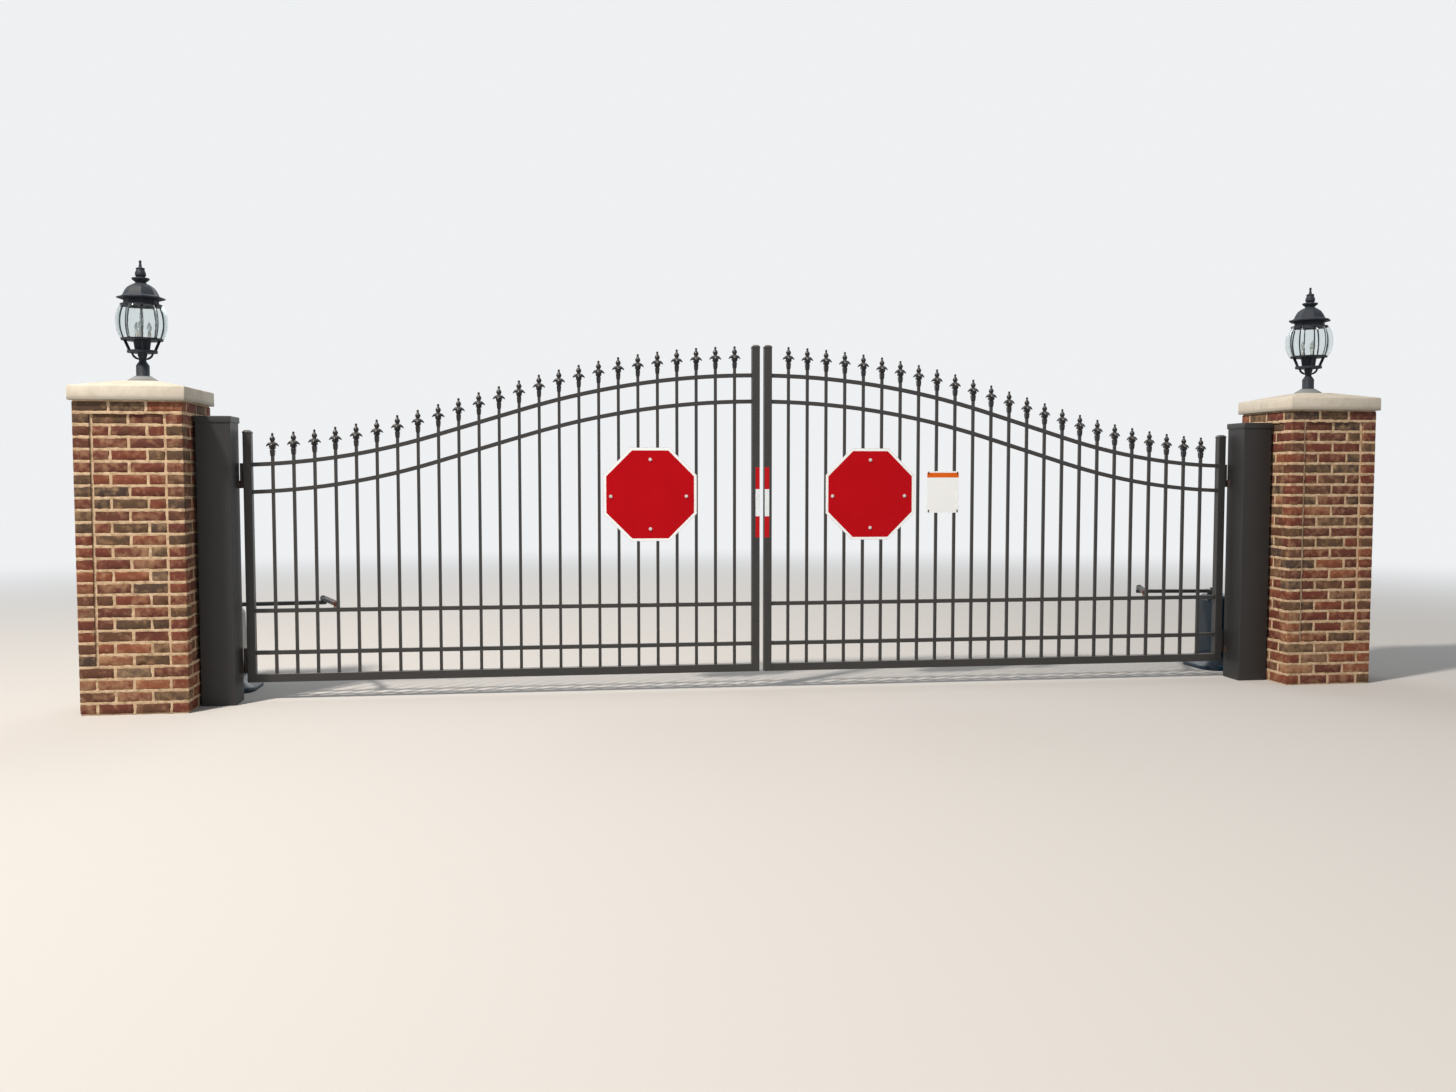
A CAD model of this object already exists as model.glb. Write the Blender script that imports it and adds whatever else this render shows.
"""Looks of the double swing driveway gate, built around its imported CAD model.

X runs along the gate, Y away from the camera and Z up. Named sizes are in millimetres.
"""

import random
from math import cos, pi, radians, sin

import bmesh
import bpy
from mathutils import Matrix, Vector


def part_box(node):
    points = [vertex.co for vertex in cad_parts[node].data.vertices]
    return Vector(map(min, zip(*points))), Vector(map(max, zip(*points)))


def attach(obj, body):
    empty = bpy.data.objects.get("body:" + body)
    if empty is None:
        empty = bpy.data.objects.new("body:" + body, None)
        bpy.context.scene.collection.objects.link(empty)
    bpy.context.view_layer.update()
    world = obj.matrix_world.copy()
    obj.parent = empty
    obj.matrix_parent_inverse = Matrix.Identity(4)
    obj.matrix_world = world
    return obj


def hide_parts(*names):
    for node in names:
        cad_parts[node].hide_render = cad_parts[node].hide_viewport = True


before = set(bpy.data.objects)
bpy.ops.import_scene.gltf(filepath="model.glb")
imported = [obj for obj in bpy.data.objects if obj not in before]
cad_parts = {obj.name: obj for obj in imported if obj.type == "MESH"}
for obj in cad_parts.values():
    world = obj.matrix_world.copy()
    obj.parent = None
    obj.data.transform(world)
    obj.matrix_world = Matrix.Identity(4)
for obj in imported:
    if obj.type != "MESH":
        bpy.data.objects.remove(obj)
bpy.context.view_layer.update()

MM = 0.001
PER_METRE = 1000.0
SIDES = ("left", "right")
UP, FRONT, BACK = Vector((0, 0, 1)), Vector((0, -1, 0)), Vector((0, 1, 0))


def corners(node):
    """The lowest and the highest corner of a CAD node, in millimetres."""
    return [[round(value / MM, 3) for value in corner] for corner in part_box(node)]


# Places read from the frame, on the left side: the right side is its mirror image
PIER_LOW, PIER_HIGH = corners("left_pier")
PIER, PIER_HEIGHT = PIER_HIGH[0] - PIER_LOW[0], PIER_HIGH[2]
PIER_X, PIER_Y = (PIER_LOW[0] + PIER_HIGH[0]) / 2, (PIER_LOW[1] + PIER_HIGH[1]) / 2
CAP_TOP = corners("left_pier_cap")[1][2]
CENTRE_X = (corners("left_stiles")[1][0] + corners("right_stiles")[0][0]) / 2
STILE_FRONT = corners("left_stiles")[0][1]
PICKETS_LOW, PICKETS_HIGH = corners("left_pickets")
PICKET_FRONT = PICKETS_LOW[1]
GATE_Y = (PICKETS_LOW[1] + PICKETS_HIGH[1]) / 2
MIRROR = Matrix.Translation((2 * CENTRE_X * MM, 0, 0)) @ Matrix.Scale(-1, 4, (1, 0, 0))


# Colours and node materials
def linear(code):
    """A linear colour from an sRGB hex code."""
    parts = [int(code[i : i + 2], 16) / 255 for i in (1, 3, 5)]
    return [c / 12.92 if c <= 0.04045 else ((c + 0.055) / 1.055) ** 2.4 for c in parts] + [1]


def add(tree, kind, links=None, **settings):
    """Add a node; links gives each input a value or another node's output."""
    new = tree.nodes.new(kind)
    for key, value in settings.items():
        setattr(new, key, value)
    for key, value in (links or {}).items():
        if isinstance(value, bpy.types.NodeSocket):
            tree.links.new(value, new.inputs[key])
        else:
            new.inputs[key].default_value = value
    return new


def fresh(name):
    """An empty node material and its tree."""
    made = bpy.data.materials.new(name)
    made.use_nodes = True
    made.node_tree.nodes.clear()
    return made, made.node_tree


def surfaced(tree, colour, rough, grain, height, strength, **inputs):
    """Close a material: a colour and a roughness over a bump of that height in mm."""
    bump = add(
        tree,
        "ShaderNodeBump",
        {"Height": grain, "Distance": height * MM, "Strength": strength},
    )
    shader = add(
        tree,
        "ShaderNodeBsdfPrincipled",
        {"Base Color": colour, "Roughness": rough, "Normal": bump.outputs["Normal"], **inputs},
    )
    add(tree, "ShaderNodeOutputMaterial", {"Surface": shader.outputs["BSDF"]})


def banded(tree, coat, at, band, cloud=None):
    """Another hue over one end of a coat, broken up by a cloud if one is given. The band is
    its axis, where in mm it is full and where it ends, its hue and its greatest share."""
    axis, full, end, hue, most = band
    place = add(tree, "ShaderNodeSeparateXYZ", {0: at}).outputs[axis]
    share = add(
        tree,
        "ShaderNodeMapRange",
        {
            "Value": place,
            "From Min": full * MM,
            "From Max": end * MM,
            "To Min": most,
            "To Max": 0.0,
        },
    ).outputs["Result"]
    if cloud:
        share = add(
            tree, "ShaderNodeMath", {0: share, 1: cloud}, operation="MULTIPLY"
        ).outputs["Value"]
    return add(
        tree, "ShaderNodeMix", {"Factor": share, "A": coat, "B": linear(hue)}, data_type="RGBA"
    ).outputs["Result"]


# How far up a face has to look for dust to start and to lie fully, and how its gloss varies
DUST_FROM, DUST_FULL = 0.3, 0.95
GLOSS_SPREAD = 0.08


def painted(
    name, dark, light, *, patch, rough, grain, height, dust, dust_hue="#8e8983", band=None, **inputs
):
    """A coat with soft patches, a fine grain, dust on faces that look up and, if asked, a band
    of another hue. The sizes of a patch and of the grain and its height are in mm."""
    made, tree = fresh(name)
    at = add(tree, "ShaderNodeTexCoord").outputs["Object"]
    cloud = add(
        tree, "ShaderNodeTexNoise", {"Vector": at, "Scale": PER_METRE / patch, "Detail": 5.0}
    ).outputs["Fac"]
    coat = add(
        tree,
        "ShaderNodeMix",
        {"Factor": cloud, "A": linear(dark), "B": linear(light)},
        data_type="RGBA",
    ).outputs["Result"]
    fine = add(
        tree, "ShaderNodeTexNoise", {"Vector": at, "Scale": PER_METRE / grain, "Detail": 3.0}
    ).outputs["Fac"]
    facing = add(tree, "ShaderNodeNewGeometry").outputs["Normal"]
    up = add(tree, "ShaderNodeSeparateXYZ", {0: facing}).outputs["Z"]
    lying = add(
        tree,
        "ShaderNodeMapRange",
        {"Value": up, "From Min": DUST_FROM, "From Max": DUST_FULL, "To Max": dust},
    ).outputs["Result"]
    patchy = add(
        tree, "ShaderNodeMath", {0: lying, 1: cloud}, operation="MULTIPLY"
    ).outputs["Value"]
    coat = add(
        tree,
        "ShaderNodeMix",
        {"Factor": patchy, "A": coat, "B": linear(dust_hue)},
        data_type="RGBA",
    ).outputs["Result"]
    if band:
        coat = banded(tree, coat, at, band)
    sheen = add(
        tree,
        "ShaderNodeMapRange",
        {"Value": fine, "To Min": rough - GLOSS_SPREAD, "To Max": rough + GLOSS_SPREAD},
    ).outputs["Result"]
    surfaced(tree, coat, sheen, fine, height, 0.6, **inputs)
    return made


# Gate coat: dark bronze with a faint orange peel, paler where dust lies on the rails
BRONZE = painted(
    "Bronze powder coat", "#282726", "#333231",
    patch=160, rough=0.44, grain=1.6, height=0.05, dust=0.55,
)
# Posts: the same coat, a shade darker on the broad sheets
POST_COAT = painted(
    "Bronze post coat", "#201f20", "#292828",
    patch=260, rough=0.5, grain=1.6, height=0.05, dust=0.4,
)
# Cast finials: the same coat, darker and a little glossier
CASTING = painted(
    "Cast finial coat", "#0e0e11", "#1a1a1d",
    patch=30, rough=0.36, grain=2.2, height=0.15, dust=0.4,
)
# Hinges: bronze coat worn to brown steel
HINGE = painted(
    "Worn hinge steel", "#2b2523", "#453831",
    patch=14, rough=0.55, grain=1.1, height=0.08, dust=0.2,
)
# Lanterns: black enamel on cast metal, dusty on top
MATT = {"Specular IOR Level": 0.3}
ENAMEL = {
    "patch": 40, "rough": 0.62, "grain": 1.8, "height": 0.1,
    "dust": 0.4, "dust_hue": "#5d656d", **MATT,
}
LANTERN = painted("Black lantern enamel", "#1b2028", "#282f38", **ENAMEL)
# Lantern stand: the same enamel, its foot chalky grey from weather
CHALKY_FOOT = ("Z", CAP_TOP + 27, CAP_TOP + 34, "#868a8c", 1.0)
STAND = painted("Weathered lantern stand", "#1b2028", "#282f38", band=CHALKY_FOOT, **ENAMEL)
# Operator covers: glossy dark blue moulded plastic
HOUSING = painted(
    "Moulded navy plastic", "#07202f", "#0a2a3e",
    patch=300, rough=0.26, grain=0.9, height=0.03, dust=0.05, **MATT,
)
# Arms: black painted flat bar
ARM = painted(
    "Black painted steel", "#17171a", "#28282b",
    patch=60, rough=0.42, grain=1.3, height=0.06, dust=0.3,
)
# Link arms: the same black, red-brown primer bare at the bracket end
BARE_END = ("Y", 215, 240, "#54342a", 1.0)
LINK = painted(
    "Black steel link", "#121214", "#1f1f22",
    patch=60, rough=0.5, grain=1.3, height=0.06, dust=0.1, band=BARE_END, **MATT,
)
# Brackets on the rails: red-brown oxide primer
PRIMER = painted(
    "Oxide primer", "#46291f", "#5c3829",
    patch=30, rough=0.6, grain=1.2, height=0.08, dust=0.2,
)
# Sign films: red, white and orange, even and slightly shiny
SHEEN = {"Specular IOR Level": 0.12}
FILM = {"rough": 0.42, "grain": 0.5, "height": 0.01, "dust": 0.05, **SHEEN}
RED_FILM = painted("Red sign film", "#b0000e", "#bd0312", patch=240, **FILM)
WHITE_FILM = painted("White sign film", "#f2f8fb", "#fafdff", patch=200, **FILM)
ORANGE_FILM = painted("Orange sign film", "#d95d10", "#e56d1c", patch=90, **FILM)
# Sheet backs: bare brushed metal
BARE = painted(
    "Bare sheet metal", "#8f9294", "#b4b6b7",
    patch=35, rough=0.38, grain=0.8, height=0.03, dust=0.1, Metallic=0.85,
)
# Bolt heads and screws: bright zinc
ZINC = painted(
    "Bright zinc", "#c9cac8", "#e2e2df",
    patch=12, rough=0.35, grain=0.8, height=0.03, dust=0.1, Metallic=0.4,
)
# Ties and lock faces: black nylon
NYLON = painted(
    "Black nylon", "#101012", "#1b1b1d",
    patch=20, rough=0.4, grain=0.8, height=0.02, dust=0.1,
)
# Red and white marking tape on the meeting stiles
TAPE = {"patch": 60, "rough": 0.4, "grain": 0.7, "height": 0.02, "dust": 0.05, **SHEEN}
RED_TAPE = painted("Red marking tape", "#b3101a", "#c4161e", **TAPE)
WHITE_TAPE = painted("White marking tape", "#dfe9f0", "#eef5fa", **TAPE)
# Candle lamps: white sleeves under pale clear bulbs
SLEEVE = painted(
    "White candle sleeve", "#e9e6dd", "#f3f0e9",
    patch=20, rough=0.4, grain=1.0, height=0.02, dust=0.1,
)
BULB = painted(
    "Pale bulb glass", "#dfe6e6", "#f2f5f3",
    patch=20, rough=0.12, grain=1.0, height=0.02, dust=0.1, **{"Transmission Weight": 0.6},
)

# How much of a brick's tone is mottling, where its surface counts as a pit, and how mortar is
# smeared: how far it favours the rims, its weight against the mottling, its reach and most
MOTTLE_SHARE = 0.34
PIT_DEEP, PIT_EDGE = 0.36, 0.52
SMEAR_ON_RIMS, SMEAR_WEIGHT = 0.3, 0.2
SMEAR_FROM, SMEAR_FULL, SMEAR_MOST, SMEAR_HUE = 0.52, 0.86, 0.7, "#b39470"


def masonry(name, stops, *, patch, pits, height, dark=0.55, tint=None, stain=None):
    """A mineral surface: mottled colour, dark pits and a rough grain. The tint layer gives each
    brick its own tone and smears of mortar; the stain is a band broken by the mottling."""
    made, tree = fresh(name)
    at = add(tree, "ShaderNodeTexCoord").outputs["Object"]
    cloud = add(
        tree,
        "ShaderNodeTexNoise",
        {"Vector": at, "Scale": PER_METRE / patch, "Detail": 8.0, "Roughness": 0.62},
    ).outputs["Fac"]
    mottle = cloud
    if tint:
        layer = add(tree, "ShaderNodeAttribute", attribute_name=tint).outputs["Color"]
        own = add(tree, "ShaderNodeSeparateColor", {0: layer}).outputs
        mottle = add(
            tree, "ShaderNodeMix", {"Factor": MOTTLE_SHARE, "A": own["Red"], "B": cloud}
        ).outputs["Result"]
    ramp = add(tree, "ShaderNodeValToRGB", {"Fac": mottle})
    ramp.color_ramp.elements.remove(ramp.color_ramp.elements[1])
    for i, (place, code) in enumerate(stops):
        element = ramp.color_ramp.elements[0] if i == 0 else ramp.color_ramp.elements.new(place)
        element.position = place
        element.color = linear(code)
    pit = add(
        tree,
        "ShaderNodeTexNoise",
        {"Vector": at, "Scale": PER_METRE / pits, "Detail": 4.0, "Roughness": 0.7},
    ).outputs["Fac"]
    shade = add(
        tree,
        "ShaderNodeMapRange",
        {"Value": pit, "From Min": PIT_DEEP, "From Max": PIT_EDGE, "To Min": dark},
    ).outputs["Result"]
    colour = add(
        tree,
        "ShaderNodeMix",
        {"Factor": 1.0, "A": ramp.outputs["Color"], "B": shade},
        data_type="RGBA",
        blend_type="MULTIPLY",
    ).outputs["Result"]
    if tint:
        wiped = add(
            tree,
            "ShaderNodeMath",
            {0: own["Green"], 1: SMEAR_ON_RIMS, 2: own["Blue"]},
            operation="MULTIPLY_ADD",
        ).outputs["Value"]
        ragged = add(
            tree,
            "ShaderNodeMath",
            {0: wiped, 1: SMEAR_WEIGHT, 2: cloud},
            operation="MULTIPLY_ADD",
        ).outputs["Value"]
        smear = add(
            tree,
            "ShaderNodeMapRange",
            {
                "Value": ragged,
                "From Min": SMEAR_FROM,
                "From Max": SMEAR_FULL,
                "To Max": SMEAR_MOST,
            },
        ).outputs["Result"]
        colour = add(
            tree,
            "ShaderNodeMix",
            {"Factor": smear, "A": colour, "B": linear(SMEAR_HUE)},
            data_type="RGBA",
        ).outputs["Result"]
    if stain:
        colour = banded(tree, colour, at, stain, cloud)
    surfaced(tree, colour, 0.88, pit, height, 0.8)
    return made


# Bricks: hard-burnt red and brown, each with its own tone, with pale mortar smears
BRICK_TONES = (
    (0.14, "#3c2b2b"),
    (0.26, "#503d30"),
    (0.37, "#5f442c"),
    (0.45, "#5f3023"),
    (0.6, "#6e3424"),
    (0.74, "#85492f"),
    (0.88, "#985e40"),
)
BRICK = masonry("Mixed red brick", BRICK_TONES, patch=46, pits=3.2, height=0.8, tint="tint")
# Mortar: sandy cream, coarse
MORTAR_TONES = ((0.3, "#a58a6d"), (0.5, "#d3b693"), (0.7, "#e6ceb0"))
MORTAR = masonry("Sandy mortar", MORTAR_TONES, patch=30, pits=2.4, height=1.2)
# Cap stone: cream cast stone, darker where rain soaks its lower edge
STONE_TONES = ((0.3, "#c2baab"), (0.5, "#cec7b9"), (0.7, "#d6d0c3"))
RAIN_STAIN = ("Z", PIER_HEIGHT + 2, PIER_HEIGHT + 28, "#5f584c", 0.95)
STONE = masonry(
    "Cream cast stone", STONE_TONES, patch=70, pits=1.8, height=0.35, dark=0.82, stain=RAIN_STAIN
)
# Lantern panes: clear glass with the gentle ripple of pressed panes, about 22 mm apart
GLASS, tree = fresh("Rippled lantern glass")
place = add(tree, "ShaderNodeTexCoord").outputs["Object"]
ripple = add(tree, "ShaderNodeTexNoise", {"Vector": place, "Scale": 45.0, "Detail": 1.0})
surfaced(
    tree,
    linear("#eef2f2"),
    0.04,
    ripple.outputs["Fac"],
    1.2,
    0.5,
    **{"Transmission Weight": 1.0, "IOR": 1.3},
)

# Mesh helpers: every piece is built in place, in metres. Faces that meet under the smooth angle
# shade as one; edges of a CAD copy over the sharp angle are eased
SMOOTH = 32
FINE_SMOOTH = 17
SHARP = 40


def linked(name, data):
    """A new object in the scene, at the origin."""
    made = bpy.data.objects.new(name, data)
    bpy.context.scene.collection.objects.link(made)
    return made


def settle(bm, name, finish, body, nodes=(), angle=SMOOTH, flip=False, built=True):
    """Turn a mesh into a piece that rides on a body. One built here is closed and faces out."""
    if built:
        bmesh.ops.holes_fill(bm, edges=bm.edges)
        bmesh.ops.recalc_face_normals(bm, faces=bm.faces)
    if flip:
        bmesh.ops.transform(bm, matrix=MIRROR, verts=bm.verts)
        bmesh.ops.reverse_faces(bm, faces=bm.faces)
    mesh = bpy.data.meshes.new(name)
    bm.to_mesh(mesh)
    bm.free()
    mesh.shade_smooth()
    mesh.set_sharp_from_angle(angle=radians(angle))
    mesh.materials.append(finish)
    made = linked(name, mesh)
    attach(made, body)
    if nodes:
        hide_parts(*nodes)


def eased(bm, edges, ease, segments=1):
    """Ease edges by so many millimetres."""
    bmesh.ops.bevel(
        bm,
        geom=edges,
        offset=ease * MM,
        affect="EDGES",
        segments=segments,
        profile=0.5,
        material=-1,
        clamp_overlap=True,
    )


def finished(node, finish, body, ease, *, angle=SMOOTH, sharp=SHARP, segments=1, name=None):
    """A copy of a CAD node, its edges over the sharp angle eased, shown in the node's place."""
    bm = bmesh.new()
    bm.from_mesh(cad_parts[node].data)
    bmesh.ops.remove_doubles(bm, verts=bm.verts, dist=0.01 * MM)
    bmesh.ops.dissolve_limit(bm, angle_limit=radians(0.3), verts=bm.verts, edges=bm.edges)
    if ease:
        edges = [
            e for e in bm.edges if len(e.link_faces) == 2 and e.calc_face_angle(0) > radians(sharp)
        ]
        eased(bm, edges, ease, segments)
    settle(bm, name or f"{node}_skin", finish, body, (node,), angle, built=False)


def box(bm, low, high, ease=0.0):
    """A closed box between two corners in millimetres, with eased edges if asked."""
    size = Vector(high) - Vector(low)
    centre = (Vector(high) + Vector(low)) / 2
    shape = Matrix.Translation(centre * MM) @ Matrix.Diagonal((*size * MM, 1))
    made = bmesh.ops.create_cube(bm, size=1, matrix=shape)["verts"]
    if ease:
        eased(bm, list(dict.fromkeys(e for v in made for e in v.link_edges)), ease)


def joined(bm, form):
    """Add a form to a piece. Forms are shaped alone, because operators are quick on few faces."""
    mesh = bpy.data.meshes.new("form")
    form.to_mesh(mesh)
    form.free()
    bm.from_mesh(mesh)
    bpy.data.meshes.remove(mesh)


def skinned(bm, form, loops):
    """Add a form to a piece as a skin over its loops of edges, one after another. Its ends stay
    open for settle to close."""
    for near, far in zip(loops, loops[1:]):
        bmesh.ops.bridge_loops(form, edges=near + far)
    joined(bm, form)


def turned(bm, centre, profile, sides, turn=0.0, along=UP):
    """A form turned on a lathe: heights from a centre along an axis, and radii, in mm. It is
    bridged from circles, because a spin numbers its faces differently each run."""
    arm = Matrix.Rotation(turn, 3, along) @ Vector((1, 0, 0))
    axes = Matrix((arm.cross(along), arm, along)).transposed().to_4x4()
    form, loops = bmesh.new(), []
    for height, radius in profile:
        place = Matrix.Translation((Vector(centre) + along * height) * MM) @ axes
        made = bmesh.ops.create_circle(form, segments=sides, radius=radius * MM, matrix=place)
        loops.append(list(dict.fromkeys(e for v in made["verts"] for e in v.link_edges)))
    skinned(bm, form, loops)


def lofted(bm, sections):
    """A skin over closed sections, each a list of points in metres."""
    form, loops = bmesh.new(), []
    for section in sections:
        verts = [form.verts.new(point) for point in section]
        loops.append([form.edges.new(pair) for pair in zip(verts, verts[1:] + verts[:1])])
    skinned(bm, form, loops)


# Brick piers: a base and a top course of full width, and panels sunk between corner strips
COURSES = 26
BASE_COURSES = 4
COURSE = PIER_HEIGHT / COURSES
BRICK_HEIGHT = 56.0
BRICK_DEPTH = 92.0
BED_JOINT = COURSE - BRICK_HEIGHT
JOINT = 14.0
PANEL_JOINT, PANEL_END_JOINT = 13.0, 17.0
BRICK_LENGTH = (PIER - 2 * JOINT) / 3
STRIP = 92.0
SUNK = 12.0
RAKE = 5.0
FIRST_COURSE_LIFT = 1.0
# Each brick: the rim along its arrises, the cells between, how much the arrises wear, and how
# far its surface and its bed wander
RIM = 4.0
CELL = 48.0
WEAR = (1.0, 2.6)
WEAR_SPREAD = (0.5, 1.6)
UNEVEN = 0.5
BED_WANDER = 1.2
# Squeezed mortar: sections this far apart, whose width, line and face wander, with a lip behind
# the face and a root inside the wall
BEAD_STEP = 21.0
BEAD_WIDER = (-1.6, 3.8)
BEAD_WANDER = 1.7
BEAD_PROUD = (-1.6, 0.4)
BEAD_LIP = 0.9
BEAD_ROOT = 9.0


def brick(bm, low, high, rng):
    """One uneven brick with worn arrises: a box cut into cells, each corner of which is moved.
    The tint layer holds its tone, 1 on the arrises, and how much mortar is smeared on it."""
    block = bmesh.new()
    tint = block.verts.layers.float_color.new("tint")
    box(block, low, high)
    lines = []
    for axis, (a, b) in enumerate(zip(low, high)):
        cells = max(2, round((b - a) / CELL))
        inner = [a + RIM + (b - a - 2 * RIM) * i / cells for i in range(cells + 1)]
        lines.append([a, *inner, b])
        across = Vector([float(n == axis) for n in range(3)])
        for cut in inner:
            bmesh.ops.bisect_plane(
                block,
                geom=block.verts[:] + block.edges[:] + block.faces[:],
                plane_co=across * cut * MM,
                plane_no=across,
            )
    tone = rng.betavariate(2.2, 2.2)
    wear = rng.uniform(*WEAR)
    smear = rng.random() ** 2 * (1.1 - 0.7 * low[2] / PIER_HEIGHT)
    places = {}
    for v in block.verts:
        near = [
            min(range(len(line)), key=lambda n: abs(line[n] * MM - value))
            for line, value in zip(lines, v.co)
        ]
        places[tuple(near)] = v
    for key in sorted(places):
        v = places[key]
        ends = [n in (0, len(line) - 1) for n, line in zip(key, lines)]
        arris = sum(ends) > 1
        bite = wear * rng.uniform(*WEAR_SPREAD) if arris else 0.0
        for axis, n in enumerate(key):
            inward = (bite if n == 0 else -bite) if ends[axis] else 0.0
            v.co[axis] += (inward + rng.uniform(-UNEVEN, UNEVEN)) * MM
        v[tint] = (tone, float(arris), smear, 1)
    joined(bm, block)


def panel_row(course):
    """Where the bricks of a sunk panel start and end along a face; nothing in a full course."""
    middle = PIER / 2
    if course < BASE_COURSES or course == COURSES - 1:
        return []
    if course % 2:
        left, right = middle - BRICK_LENGTH / 2, middle + BRICK_LENGTH / 2
        return [
            (STRIP + PANEL_JOINT, left - PANEL_JOINT),
            (left, right),
            (right + PANEL_JOINT, PIER - STRIP - PANEL_JOINT),
        ]
    return [
        (STRIP + PANEL_END_JOINT, middle - JOINT / 2),
        (middle + JOINT / 2, PIER - STRIP - PANEL_END_JOINT),
    ]


def laid(course):
    """The bricks of one course: start and end along a face, near and far across it, and
    whether that face looks to the front or the back."""
    far_side = PIER - BRICK_DEPTH
    row = panel_row(course)
    if row:
        return [
            (start, end, near, near + BRICK_DEPTH - SUNK, front)
            for start, end in row
            for near in (SUNK, far_side)
            for front in (True, False)
        ] + [
            (start, start + STRIP, near, near + STRIP, True)
            for start in (0, PIER - STRIP)
            for near in (0, PIER - STRIP)
        ]
    step = BRICK_LENGTH + JOINT
    long = [(i * step, i * step + BRICK_LENGTH) for i in range(3)]
    short = [
        (BRICK_DEPTH + JOINT, PIER / 2 - JOINT / 2),
        (PIER / 2 + JOINT / 2, far_side - JOINT),
    ]
    return [
        (start, end, near, near + BRICK_DEPTH, front)
        for front in (True, False)
        for start, end in (long if front == (course % 2 == 1) else short)
        for near in (0, far_side)
    ]


def bricks(bm, rng):
    """All the bricks of a pier, course by course."""
    x0, y0 = PIER_LOW[:2]
    for course in range(COURSES):
        bed = course * COURSE + BED_JOINT / 2 + (0 if course else FIRST_COURSE_LIFT)
        for start, end, near, far, front in laid(course):
            low = bed + rng.uniform(-BED_WANDER, BED_WANDER)
            a, b = ((start, near), (end, far)) if front else ((near, start), (far, end))
            brick(
                bm,
                (x0 + a[0], y0 + a[1], low),
                (x0 + b[0], y0 + b[1], low + BRICK_HEIGHT),
                rng,
            )


def mortar_body(bm):
    """The mortar behind the brick faces: the panels' core, the base, the top and the strips."""
    x0, y0 = PIER_LOW[:2]
    base_top, top_low = BASE_COURSES * COURSE, PIER_HEIGHT - COURSE
    for inset, low, high in (
        (SUNK + RAKE, base_top, top_low),
        (RAKE, 0, base_top),
        (RAKE, top_low, PIER_HEIGHT),
    ):
        end = PIER - inset
        box(bm, (x0 + inset, y0 + inset, low), (x0 + end, y0 + end, high))
    side = STRIP - 2 - RAKE
    for x in (x0 + RAKE, x0 + PIER - RAKE - side):
        for y in (y0 + RAKE, y0 + PIER - RAKE - side):
            box(bm, (x, y, base_top), (x + side, y + side, top_low))


def on_face(face, along, height, out):
    """A point of one of the pier's faces, which count round from the front, in metres."""
    flat = Vector((along - PIER / 2, -PIER / 2 - out, height))
    return (Vector((PIER_X, PIER_Y, 0)) + Matrix.Rotation(face * pi / 2, 3, "Z") @ flat) * MM


def bead(bm, rng, face, level, start, end, line, width, sunk=0.0):
    """A ragged strip of squeezed mortar that runs level or upright along a line of a face."""
    steps = max(2, round((end - start) / BEAD_STEP))
    sections = []
    for i in range(steps + 1):
        run = start + (end - start) * i / steps
        half = width / 2 + rng.uniform(*BEAD_WIDER)
        middle = line + rng.uniform(-BEAD_WANDER, BEAD_WANDER)
        proud = rng.uniform(*BEAD_PROUD) - sunk
        lip, root = proud - BEAD_LIP, -BEAD_ROOT - sunk
        outline = ((-1, root), (-1, lip), (-0.4, proud), (0.5, proud), (1, lip), (1, root))
        sections.append(
            [
                on_face(face, run, middle + share * half, out)
                if level
                else on_face(face, middle - share * half, run, out)
                for share, out in outline
            ]
        )
    lofted(bm, sections)


def beads(bm, rng):
    """Every joint of a pier's four faces."""
    for face in range(4):
        for course in range(COURSES):
            low, high = course * COURSE, (course + 1) * COURSE
            row = panel_row(course)
            if course and row and panel_row(course - 1):
                bead(bm, rng, face, True, 2, STRIP - 1, low, BED_JOINT)
                bead(bm, rng, face, True, STRIP, PIER - STRIP, low, BED_JOINT, SUNK)
                bead(bm, rng, face, True, PIER - STRIP + 1, PIER - 2, low, BED_JOINT)
            elif course:
                bead(bm, rng, face, True, 2, PIER - 2, low, BED_JOINT)
            if row:
                ends = [STRIP, *(u for span in row for u in span), PIER - STRIP]
                for a, b in zip(ends[::2], ends[1::2]):
                    bead(bm, rng, face, False, low + 2, high - 2, (a + b) / 2, b - a, SUNK)
            else:
                long = face % 2 == (course + 1) % 2
                first = (BRICK_LENGTH if long else BRICK_DEPTH) + JOINT / 2
                for u in (first, PIER - first) if long else (first, PIER / 2, PIER - first):
                    bead(bm, rng, face, False, low + 4, high - 4, u, JOINT)


for number, side in enumerate(SIDES):
    flip = side == "right"
    bm = bmesh.new()
    bricks(bm, random.Random(11 + number))
    settle(bm, f"{side}_pier_bricks", BRICK, "root", (f"{side}_pier",), 50, flip)
    bm = bmesh.new()
    mortar_body(bm)
    beads(bm, random.Random(21 + number))
    settle(bm, f"{side}_pier_mortar", MORTAR, "root", angle=70, flip=flip)
    finished(
        f"{side}_pier_cap",
        STONE,
        "root",
        5.0,
        sharp=5,
        segments=2,
        name=f"{side}_cap_stone",
    )

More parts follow.
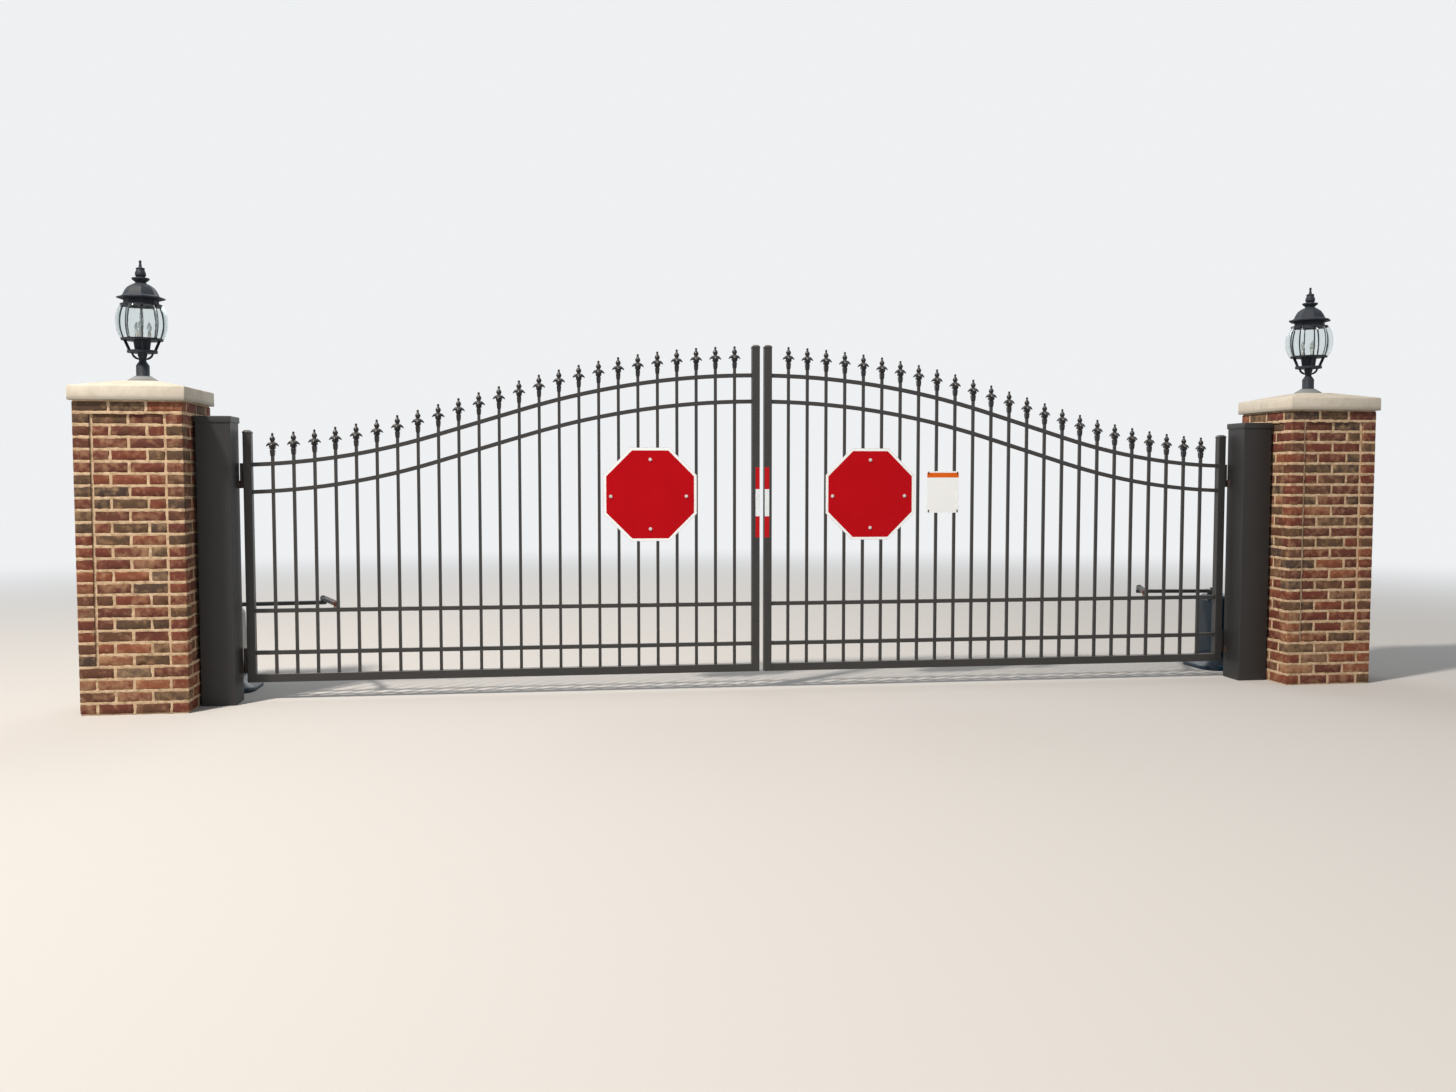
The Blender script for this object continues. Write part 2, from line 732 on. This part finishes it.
# Metalwork: eased copies of the CAD nodes
for side in SIDES:
    leaf = f"{side}_leaf"
    for node, finish, body, slot, ease in (
        ("lantern_stand", STAND, "root", "lantern_metal", 0.8),
        ("lantern_cage", LANTERN, "root", "lantern_metal", 0.8),
        ("lantern_roof", LANTERN, "root", "lantern_metal", 0.8),
        ("lantern_glass", GLASS, "root", "lantern_glass", 0),
        ("post", POST_COAT, "root", "bronze_powder_coat", 2.5),
        ("post_cap", POST_COAT, "root", "bronze_powder_coat", 1.5),
        ("post_hinges", HINGE, "root", "hinge_steel", 0.6),
        ("leaf_hinges", HINGE, leaf, "hinge_steel", 0.6),
        ("stiles", BRONZE, leaf, "bronze_powder_coat", 1.2),
        ("stile_caps", BRONZE, leaf, "bronze_powder_coat", 1.2),
        ("bottom_rail", BRONZE, leaf, "bronze_powder_coat", 1.2),
        ("mid_rails", BRONZE, leaf, "bronze_powder_coat", 0.8),
        ("arch_rails", BRONZE, leaf, "bronze_powder_coat", 0.8),
        ("pickets", BRONZE, leaf, "bronze_powder_coat", 0.8),
        ("operator_base", HOUSING, "root", "moulded_housing", 2.0),
        ("operator_housing", HOUSING, "root", "moulded_housing", 1.0),
        ("crank_arm", ARM, f"{side}_crank", "arm_steel", 1.0),
        ("link_arm", LINK, f"{side}_link", "arm_steel", 1.0),
        ("arm_bracket", PRIMER, leaf, "arm_steel", 1.0),
    ):
        angle = FINE_SMOOTH if node == "lantern_roof" else SMOOTH
        finished(f"{side}_{node}", finish, body, ease, angle=angle)

# Picket finials: a square sleeve and collar (height, half width), a budded spear with a ball
# tip (height, radius), and four drooping wings (reach, height, half width, half thickness)
PICKETS = 24
PICKET = PICKETS_HIGH[1] - PICKETS_LOW[1]
FIRST_PICKET_X = PICKETS_LOW[0] + PICKET / 2
PICKET_PITCH = (PICKETS_HIGH[0] - PICKETS_LOW[0] - PICKET) / (PICKETS - 1)
FINIAL_HEIGHT = 145.0
FINIAL_SLEEVE = (
    (0, 10.8), (4, 12.4), (30, 14.2), (37, 14.2), (40, 11.6), (43, 11.0), (45, 14.6), (47, 17.4),
    (50, 17.4), (52, 15.6), (56, 19.0), (60, 19.0), (64, 15.0),
)
FINIAL_SPEAR = (
    (58, 16.0), (66, 20.0), (74, 20.0), (80, 16.6), (85, 13.0), (89, 11.2), (94, 12.6),
    (100, 15.8), (106, 17.4), (111, 16.4), (117, 13.0), (123, 8.8), (128, 6.0), (131, 6.2),
    (134, 8.0), (138, 8.2), (142, 6.2), (FINIAL_HEIGHT, 1.6),
)
FINIAL_WING = (
    (4, 75, 15, 13), (13, 77, 16, 12), (20, 76, 15.5, 10.5), (27, 73, 13, 8.6),
    (33, 68.5, 9.5, 6.8), (37, 64.5, 5.6, 4.8), (39.4, 61.5, 2.2, 2.2),
)
WINGS = 4
WING_SIDES = 8
# Rails, where a small screw holds each picket from behind
RAIL_HEIGHT = 25.4
RAILS_LOW, RAILS_HIGH = corners("left_mid_rails")
MID_RAILS_Z = (RAILS_LOW[2] + RAIL_HEIGHT / 2, RAILS_HIGH[2] - RAIL_HEIGHT / 2)
RAIL_BACK = RAILS_HIGH[1]
PICKET_ABOVE_ARCH = 48.0
ARCH_RAIL_DROP = 171.0
RAIL_SCREW = ((-0.5, 4.4), (0.9, 4.4), (2.1, 2.8))

finial_tops = [0.0] * PICKETS
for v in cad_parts["left_finials"].data.vertices:
    picket = round((v.co.x / MM - FIRST_PICKET_X) / PICKET_PITCH)
    finial_tops[picket] = max(finial_tops[picket], v.co.z / MM)


def finial(bm, foot):
    """One cast finial standing on its picket."""
    turned(bm, foot, [(h, half * 2**0.5) for h, half in FINIAL_SLEEVE], 4, pi / 4)
    turned(bm, foot, FINIAL_SPEAR, 12)
    for wing in range(WINGS):
        turn = Matrix.Rotation(2 * pi * wing / WINGS, 3, UP)
        sections = []
        for reach, height, half, thick in FINIAL_WING:
            oval = [2 * pi * i / WING_SIDES for i in range(WING_SIDES)]
            points = [Vector((reach, half * cos(a), height + thick * sin(a))) for a in oval]
            sections.append([(Vector(foot) + turn @ point) * MM for point in points])
        lofted(bm, sections)


for side in SIDES:
    flip = side == "right"
    finials, screws = bmesh.new(), bmesh.new()
    for i, top in enumerate(finial_tops):
        x, foot = FIRST_PICKET_X + PICKET_PITCH * i, top - FINIAL_HEIGHT
        finial(finials, (x, GATE_Y, foot))
        arch = foot - PICKET_ABOVE_ARCH
        for z in (*MID_RAILS_Z, arch, arch - ARCH_RAIL_DROP):
            turned(screws, (x, RAIL_BACK, z), RAIL_SCREW, 8, -0.4 * i, BACK)
    settle(
        finials,
        f"{side}_cast_finials",
        CASTING,
        f"{side}_leaf",
        (f"{side}_finials",),
        40,
        flip,
    )
    settle(screws, f"{side}_rail_screws", ZINC, f"{side}_leaf", flip=flip)

# Lanterns: three candle lamps inside, and the ring on the roof's vase, by height and radius
CANDLE_FOOT = corners("left_lantern_candles")[0][2]
CANDLE_CIRCLE = 42.0
CANDLES = 3
CANDLE_SLEEVE = ((0, 13.5), (3, 13.5), (4, 10.6), (45, 10.6), (46, 9.5))
CANDLE_BULB = (
    (46, 8.5), (50, 9.5), (56, 12.2), (63, 14.4), (70, 15.0), (78, 13.6), (86, 10.4), (94, 6.4),
    (100, 3.2), (104, 0.8),
)
VASE_RING = ((673, 21), (675, 25), (678, 26), (681, 25), (683, 18))

for side in SIDES:
    flip = side == "right"
    sleeves, bulbs, vase_ring = bmesh.new(), bmesh.new(), bmesh.new()
    for i in range(CANDLES):
        angle = radians(30) + 2 * pi * i / CANDLES
        x, y = PIER_X + CANDLE_CIRCLE * cos(angle), PIER_Y + CANDLE_CIRCLE * sin(angle)
        turned(sleeves, (x, y, CANDLE_FOOT), CANDLE_SLEEVE, 20)
        turned(bulbs, (x, y, CANDLE_FOOT), CANDLE_BULB, 20)
    turned(vase_ring, (PIER_X, PIER_Y, CAP_TOP), VASE_RING, 28)
    settle(
        sleeves,
        f"{side}_candle_sleeves",
        SLEEVE,
        "root",
        (f"{side}_lantern_candles",),
        45,
        flip,
    )
    settle(bulbs, f"{side}_candle_bulbs", BULB, "root", (), 45, flip)
    settle(vase_ring, f"{side}_vase_ring", LANTERN, "root", flip=flip)

# Operators: a round key lock on the sloping back of each cover
HOUSING_LOW, HOUSING_HIGH = corners("left_operator_housing")
LOCK = ((HOUSING_LOW[0] + HOUSING_HIGH[0]) / 2, HOUSING_HIGH[1] - 8.9, 350.0)
LOCK_RIM = ((-3, 15), (3, 15), (4.5, 12.5))
LOCK_FACE = ((3, 9.5), (5.2, 9.5))
for side in SIDES:
    for name, finish, profile in (("lock_rim", ZINC, LOCK_RIM), ("lock_face", NYLON, LOCK_FACE)):
        bm = bmesh.new()
        turned(bm, LOCK, profile, 24, along=BACK)
        settle(bm, f"{side}_{name}", finish, "root", flip=side == "right")

# Octagonal signs: a white film, a red one on it that leaves the border, and four bolts, with
# depths in front of the pickets
SHEET = 1.9
WHITE_ACROSS, WHITE_DEPTH = 608.0, 2.3
RED_ACROSS, RED_DEPTH = 574.0, 2.6
BOLTS = ((0, 228), (0, -225), (-258, -12), (236, -12))
WASHER = ((0, 11.0), (1.5, 11.0))
BOLT_HEAD = ((1, 9.0), (6, 9.0), (7.5, 7.5))
for side in SIDES:
    leaf = f"{side}_leaf"
    low, high = corners(f"{side}_stop_sign")
    x, z = (low[0] + high[0]) / 2, (low[2] + high[2]) / 2
    finished(f"{side}_stop_sign", BARE, leaf, 0.4)
    for part, finish, across, depth in (
        ("border", WHITE_FILM, WHITE_ACROSS, WHITE_DEPTH),
        ("field", RED_FILM, RED_ACROSS, RED_DEPTH),
    ):
        bm = bmesh.new()
        reach = across / 2 / cos(pi / 8)
        turned(bm, (x, PICKET_FRONT, z), ((SHEET, reach), (depth, reach)), 8, pi / 8, FRONT)
        settle(bm, f"{side}_stop_{part}", finish, leaf)
    bm = bmesh.new()
    for dx, dz in BOLTS:
        place = (x + dx, PICKET_FRONT - RED_DEPTH, z + dz)
        turned(bm, place, WASHER, 20, 0.3, FRONT)
        turned(bm, place, BOLT_HEAD, 6, 0.3, FRONT)
    settle(bm, f"{side}_stop_bolts", ZINC, leaf)

# Small sign: an orange band under its white top edge, and nylon ties through its corners
finished("warning_sign", WHITE_FILM, "right_leaf", 0.4)
SIGN_LOW, SIGN_HIGH = corners("warning_sign")
SIGN_X, SIGN_Z = (SIGN_LOW[0] + SIGN_HIGH[0]) / 2, (SIGN_LOW[2] + SIGN_HIGH[2]) / 2
BAND_HALF = 110.0
BAND_TOP, BAND_HEIGHT = SIGN_HIGH[2] - 10, 32.0
BAND_DEPTH = 2.4
bm = bmesh.new()
box(
    bm,
    (SIGN_X - BAND_HALF, PICKET_FRONT - BAND_DEPTH, BAND_TOP - BAND_HEIGHT),
    (SIGN_X + BAND_HALF, PICKET_FRONT - SHEET, BAND_TOP),
)
settle(bm, "warning_band", ORANGE_FILM, "right_leaf")
TIE_X, TIE_Z = 100.0, 128.0
TIE = (8.0, 4.0, 16.0)
bm = bmesh.new()
for x in (SIGN_X - TIE_X, SIGN_X + TIE_X):
    for z in (SIGN_Z - TIE_Z, SIGN_Z + TIE_Z):
        low = (x - TIE[0] / 2, PICKET_FRONT - TIE[1], z - TIE[2] / 2)
        box(bm, low, (x + TIE[0] / 2, PICKET_FRONT - SHEET, z + TIE[2] / 2), 0.6)
settle(bm, "warning_ties", NYLON, "right_leaf")

# Marking tape on the fronts of the two meeting stiles
TAPE_FRONT, TAPE_BACK = STILE_FRONT - 0.4, STILE_FRONT + 0.3
for side, near, far in (("left", 3361.0, 3388.6), ("right", 3356.0, 3386.0)):
    for part, finish, low, high in (
        ("tape_top", RED_TAPE, 1322, 1466),
        ("tape_middle", WHITE_TAPE, 1143, 1322),
        ("tape_bottom", RED_TAPE, 1004, 1143),
    ):
        bm = bmesh.new()
        box(bm, (near, TAPE_FRONT, low), (far, TAPE_BACK, high))
        settle(bm, f"{side}_{part}", finish, f"{side}_leaf", flip=side == "right")

# Floor and background, in metres: the floor fades to the background's colour with distance
BACKGROUND, BACKGROUND_LIGHT, WORLD_LIGHT = "#f4f6f8", 0.95, 0.32
FLOOR_HALF = 60.0
FADE_CENTRE = (3.4, 0, 0)
FADE_FROM, FADE_TO = 5.0, 17.0


def in_view(tree):
    """1 on rays from the camera, and on rays mirrored by metal or passed by glass."""
    path = add(tree, "ShaderNodeLightPath")
    sight = path.outputs["Is Camera Ray"]
    for kind in ("Is Glossy Ray", "Is Transmission Ray"):
        both = add(tree, "ShaderNodeMath", {0: sight, 1: path.outputs[kind]}, operation="MAXIMUM")
        sight = both.outputs["Value"]
    return sight


bm = bmesh.new()
bmesh.ops.create_grid(bm, x_segments=1, y_segments=1, size=FLOOR_HALF)
ground = bpy.data.meshes.new("floor")
bm.to_mesh(ground)
bm.free()
floor = linked("floor", ground)
# Pale matt ground that keeps the object's shadow
pale, tree = fresh("Pale floor")
matt = add(tree, "ShaderNodeBsdfPrincipled", {"Base Color": linear("#c6c5c3"), "Roughness": 0.95})
place = add(tree, "ShaderNodeTexCoord").outputs["Object"]
away = add(tree, "ShaderNodeVectorMath", {0: place, 1: FADE_CENTRE}, operation="DISTANCE")
fade = add(
    tree,
    "ShaderNodeMapRange",
    {"Value": away.outputs["Value"], "From Min": FADE_FROM, "From Max": FADE_TO},
    interpolation_type="SMOOTHSTEP",
)
share = add(
    tree, "ShaderNodeMath", {0: fade.outputs["Result"], 1: in_view(tree)}, operation="MULTIPLY"
)
haze = add(
    tree, "ShaderNodeEmission", {"Color": linear(BACKGROUND), "Strength": BACKGROUND_LIGHT}
)
blend = add(
    tree,
    "ShaderNodeMixShader",
    {0: share.outputs["Value"], 1: matt.outputs["BSDF"], 2: haze.outputs["Emission"]},
)
add(tree, "ShaderNodeOutputMaterial", {"Surface": blend.outputs["Shader"]})
ground.materials.append(pale)

world = bpy.data.worlds.new("Studio")
world.use_nodes = True
bpy.context.scene.world = world
tree = world.node_tree
tree.nodes.clear()
strength = add(
    tree,
    "ShaderNodeMapRange",
    {"Value": in_view(tree), "To Min": WORLD_LIGHT, "To Max": BACKGROUND_LIGHT},
)
sky = add(
    tree,
    "ShaderNodeBackground",
    {"Color": linear(BACKGROUND), "Strength": strength.outputs["Result"]},
)
add(tree, "ShaderNodeOutputWorld", {"Surface": sky.outputs["Background"]})

# Lamps aimed at the gate's middle: a warm sun from the upper left, and two soft wide ones
AIM = Vector((3.4, 0, 1.2))
for name, place, size, power, hue in (
    ("key", (-5.0, -6.2, 14.0), 1.2, 3350, "#fff4e8"),
    ("fill", (10.0, -10.0, 5.0), 6.0, 30, "#eaf1ff"),
    ("back", (3.0, 9.0, 8.0), 6.0, 320, "#ffffff"),
):
    data = bpy.data.lights.new(name, "AREA")
    data.size = size
    data.energy = power
    data.color = linear(hue)[:3]
    lamp = linked(name, data)
    lamp.location = place
    lamp.rotation_euler = (AIM - Vector(place)).to_track_quat("-Z", "Y").to_euler()

# Camera fitted to the photograph: its place, its turn to the right and down, and its lens
CAMERA_AT = (2.0309, -7.966, 1.4)
YAW, PITCH = radians(8.113), radians(3.185)
ahead = Vector((sin(YAW) * cos(PITCH), cos(YAW) * cos(PITCH), -sin(PITCH)))
aside = Vector((cos(YAW), -sin(YAW), 0))
above = aside.cross(ahead)
lens = bpy.data.cameras.new("camera")
lens.sensor_width = 36
lens.lens = 30.52
lens.clip_end = 200
camera = linked("camera", lens)
turn = Matrix((aside, above, -ahead)).transposed().to_4x4()
camera.matrix_world = Matrix.Translation(CAMERA_AT) @ turn
bpy.context.scene.camera = camera
bpy.context.scene.view_settings.view_transform = "Standard"
